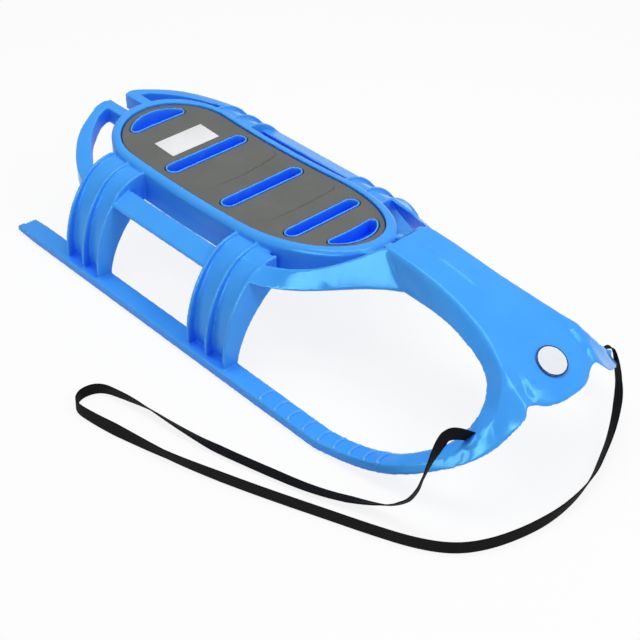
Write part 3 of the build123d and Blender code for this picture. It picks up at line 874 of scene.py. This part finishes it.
# Painted highlight: a paler blue on convex edges.
color = blend_colors(tree, remap(tree, edge.outputs["Fac"], 0.08, 0.35, 0, 0.8), color, BLUE_PAINTED_EDGE_HIGHLIGHT)
tree.links.new(color, shader.inputs["Base Color"])
gloss = remap(tree, grain.outputs["Height"], 0.3, 0.7, 0.13, 0.19)
dull = remap(tree, hollow.outputs["AO"], 0.4, 0.9, 0.4, 0)
tree.links.new(math_node(tree, "ADD", gloss, dull), shader.inputs["Roughness"])
add_bump(tree, shader, grain.outputs["Height"], 0.00003)
paint(body, blue)
paint(foot_ridges, blue)
print("blue moulding nodes:", len(tree.nodes))

# %% [markdown]
# The foam's skin is matt and slightly pitted, and its grey drifts a little. Its pits are painted darker, as
# painted shade, and so are the pressed creases, which are found with the same measure of the mesh as the
# moulding's edges.

# %% Grey foam
FOAM = (0.128, 0.134, 0.128)
FOAM_DRIFT = (0.15, 0.154, 0.146)
# The pit grey is painted shade in the pits, and the crease grey is painted shade in the pressed creases.
FOAM_PAINTED_PIT_SHADE = (0.07, 0.074, 0.07)
FOAM_SPECK = (0.22, 0.226, 0.218)
FOAM_PAINTED_CREASE_SHADE = (0.03, 0.031, 0.03)
foam, tree, shader, grain = new_material("grey_foam_skin", grain_scale=500, drift_scale=18,
                                        Specular_IOR_Level=0.35)
cells = tree.nodes.new("ShaderNodeTexVoronoi")
cells.inputs["Scale"].default_value = 700
tree.links.new(tree.nodes["Texture Coordinate"].outputs["Object"], cells.inputs["Vector"])
bend = mark_edges(pad, 0)
print("crease mask of the pad:", np.round(np.percentile(bend, (0.2, 1, 5, 50)), 3))
crease = tree.nodes.new("ShaderNodeAttribute")
crease.attribute_name = "edge"
drift = remap(tree, grain.outputs["Drift"], 0.3, 0.7, 0, 1)
color = blend_colors(tree, drift, FOAM, FOAM_DRIFT)
# Painted shade in the pits of the cells.
painted_pit_shade = remap(tree, cells.outputs["Distance"], 0.0, 0.5, 0.35, 0)
color = blend_colors(tree, painted_pit_shade, color, FOAM_PAINTED_PIT_SHADE)
specks = remap(tree, grain.outputs["Height"], 0.5, 0.8, 0, 0.3)
color = blend_colors(tree, specks, color, FOAM_SPECK)
# Painted shade in the pressed creases.
painted_crease_shade = remap(tree, crease.outputs["Fac"], -0.35, -0.06, 0.85, 0)
color = blend_colors(tree, painted_crease_shade, color, FOAM_PAINTED_CREASE_SHADE)
tree.links.new(color, shader.inputs["Base Color"])
tree.links.new(remap(tree, grain.outputs["Height"], 0.3, 0.7, 0.62, 0.8), shader.inputs["Roughness"])
add_bump(tree, shader, math_node(tree, "ADD", grain.outputs["Height"], cells.outputs["Distance"]), 0.0003)
paint(pad, foam)

# %% [markdown]
# The webbing is black, with its weave as bump, and painted a little lighter where a thread comes up, a
# painted sheen on the raised threads. The fine grain adds paler spots, as on webbing that has been handled.

# %% Black webbing
WEB = (0.0008, 0.0008, 0.0008)
# The thread colour is a painted sheen on the raised threads.
WEB_PAINTED_THREAD_SHEEN = (0.004, 0.004, 0.0045)
WEB_WORN = (0.008, 0.008, 0.009)
WEAVE_PITCH = 0.0013
web, tree, shader, grain = new_material("black_woven_webbing", grain_scale=2500, drift_scale=30,
                                       Specular_IOR_Level=0.1)
map_of_band = tree.nodes.new("ShaderNodeUVMap")
weave = tree.nodes.new("ShaderNodeGroup")
weave.node_tree = weave_group
weave.inputs["Pitch"].default_value = WEAVE_PITCH
tree.links.new(map_of_band.outputs["UV"], weave.inputs["Vector"])
# Painted sheen where a thread comes up.
color = blend_colors(tree, weave.outputs["Height"], WEB, WEB_PAINTED_THREAD_SHEEN)
worn = remap(tree, grain.outputs["Height"], 0.45, 0.75, 0, 0.5)
color = blend_colors(tree, worn, color, WEB_WORN)
tree.links.new(color, shader.inputs["Base Color"])
tree.links.new(remap(tree, weave.outputs["Height"], 0, 1, 0.85, 0.6), shader.inputs["Roughness"])
add_bump(tree, shader, weave.outputs["Height"], 0.0003)
paint(strap, web)
print("webbing nodes:", len(tree.nodes))

# %% [markdown]
# Label and badge are smooth and pale, with a faint unevenness. The badge has a clear coat over its colours,
# as a resin dome has. Its ring and its disc are two materials, and the badge's faces already carry the
# number of the one that they get.

# %% White film and badge
film, tree, shader, grain = new_material("blank_white_film", grain_scale=900, drift_scale=25)
drift = remap(tree, grain.outputs["Drift"], 0.3, 0.7, 0, 1)
color = blend_colors(tree, drift, (0.84, 0.85, 0.86), (0.88, 0.885, 0.89))
tree.links.new(color, shader.inputs["Base Color"])
tree.links.new(remap(tree, grain.outputs["Drift"], 0.3, 0.7, 0.3, 0.42), shader.inputs["Roughness"])
add_bump(tree, shader, grain.outputs["Drift"], 0.0004)
paint(label, film)
print("film nodes:", len(tree.nodes))

badge_materials = []
for name, dark, light in (("badge_ring_blue", (0.012, 0.035, 0.16), (0.018, 0.05, 0.21)),
                          ("badge_disc_blank", (0.80, 0.83, 0.88), (0.84, 0.865, 0.9))):
    material, tree, shader, grain = new_material(name, grain_scale=700, drift_scale=60,
                                                 Coat_Weight=0.6, Coat_Roughness=0.03)
    drift = remap(tree, grain.outputs["Drift"], 0.3, 0.7, 0, 1)
    color = blend_colors(tree, drift, dark, light)
    tree.links.new(color, shader.inputs["Base Color"])
    tree.links.new(remap(tree, grain.outputs["Height"], 0.3, 0.7, 0.18, 0.26), shader.inputs["Roughness"])
    add_bump(tree, shader, grain.outputs["Height"], 0.00003)
    badge_materials.append(material)
paint(badge, *badge_materials)
print("badge materials:", [material.name for material in badge_materials])

# %% [markdown]
# The strips under the runners are rolled steel. Their grain is stretched along the sled, as rolling leaves
# it, by a mapping that shrinks the coordinates that way.

# %% Rolled steel
steel, tree, shader, grain = new_material("rolled_steel", grain_scale=800, drift_scale=40, Metallic=1.0)
stretch = tree.nodes.new("ShaderNodeMapping")
stretch.inputs["Scale"].default_value = (0.02, 1, 1)
tree.links.new(tree.nodes["Texture Coordinate"].outputs["Object"], stretch.inputs["Vector"])
tree.links.new(stretch.outputs["Vector"], grain.inputs["Vector"])
color = blend_colors(tree, grain.outputs["Height"], (0.48, 0.49, 0.51), (0.60, 0.61, 0.62))
tree.links.new(color, shader.inputs["Base Color"])
tree.links.new(remap(tree, grain.outputs["Height"], 0.3, 0.7, 0.28, 0.45), shader.inputs["Roughness"])
add_bump(tree, shader, grain.outputs["Height"], 0.00002)
for side in SIDES:
    paint(frame["nodes"][f"{side}_steel_strip"], steel)
print("materials:", len(bpy.data.materials))

# %% [markdown]
# The floor is plain and pale. To the camera, and in reflections, most of it shines white by itself, so the
# background stays white, and the rest is a matt surface that keeps the sled's shadow.

# %% Lay the floor
FLOOR_GLOW = 0.87
FLOOR_SIZE = 12
FLOOR_DROP = 0.0005       # just under the runners, so that the two surfaces never meet
bpy.ops.object.select_all(action="DESELECT")
bpy.ops.mesh.primitive_plane_add(size=FLOOR_SIZE, location=(0, 0, -FLOOR_DROP))
floor = bpy.context.object
floor.name = "studio_floor"
bpy.ops.object.transform_apply()
floor_material = bpy.data.materials.new("pale_floor")
floor_material.use_nodes = True
tree = floor_material.node_tree
tree.nodes.clear()
output = tree.nodes.new("ShaderNodeOutputMaterial")
mix = tree.nodes.new("ShaderNodeMixShader")
rays = tree.nodes.new("ShaderNodeLightPath")
plain = tree.nodes.new("ShaderNodeBsdfDiffuse")
plain.inputs["Color"].default_value = (0.92, 0.92, 0.92, 1)
glow = tree.nodes.new("ShaderNodeEmission")
seen = math_node(tree, "MAXIMUM", rays.outputs["Is Camera Ray"], rays.outputs["Is Glossy Ray"])
seen = math_node(tree, "MAXIMUM", seen, rays.outputs["Is Transmission Ray"])
tree.links.new(math_node(tree, "MULTIPLY", seen, FLOOR_GLOW), mix.inputs["Fac"])
tree.links.new(plain.outputs[0], mix.inputs[1])
tree.links.new(glow.outputs[0], mix.inputs[2])
tree.links.new(mix.outputs[0], output.inputs["Surface"])
paint(floor, floor_material)
print("floor nodes:", len(tree.nodes))

# %% [markdown]
# A white world and two soft boxes give the plain light, at a level where a colour looks as it is written.
# Two more boxes are seen only in highlights, so that the gloss shows on the near side without paling it.

# %% Light the sled
WORLD_LIGHT = 0.415
world = bpy.data.worlds.new("studio")
bpy.context.scene.world = world
world.use_nodes = True
world.node_tree.nodes["Background"].inputs["Color"].default_value = (1, 1, 1, 1)
world.node_tree.nodes["Background"].inputs["Strength"].default_value = WORLD_LIGHT


def softbox(name, where, width, height, power, shine_only=False):
    """A rectangular lamp that faces the middle of the sled, and may show in highlights only."""
    bpy.ops.object.select_all(action="DESELECT")
    bpy.ops.object.light_add(type="AREA", location=where)
    lamp = bpy.context.object
    lamp.name = name
    lamp.data.shape = "RECTANGLE"
    lamp.data.size = width
    lamp.data.size_y = height
    lamp.data.energy = power
    lamp.rotation_euler = Vector(where).to_track_quat("Z", "Y").to_euler()
    lamp.visible_diffuse = not shine_only


softbox("top_box", (-0.15, -0.1, 2.4), width=1.0, height=1.8, power=26.5)
softbox("side_box", (0.35, -2.1, 0.75), width=1.5, height=0.75, power=41, shine_only=True)
softbox("front_box", (2.05, 0.25, 1.9), width=0.6, height=0.8, power=17)
softbox("corner_box", (1.6, -1.35, 0.7), width=0.7, height=0.35, power=12.5, shine_only=True)
bpy.context.scene.view_settings.view_transform = "Standard"

# %% The last line
bpy.context.view_layer.update()
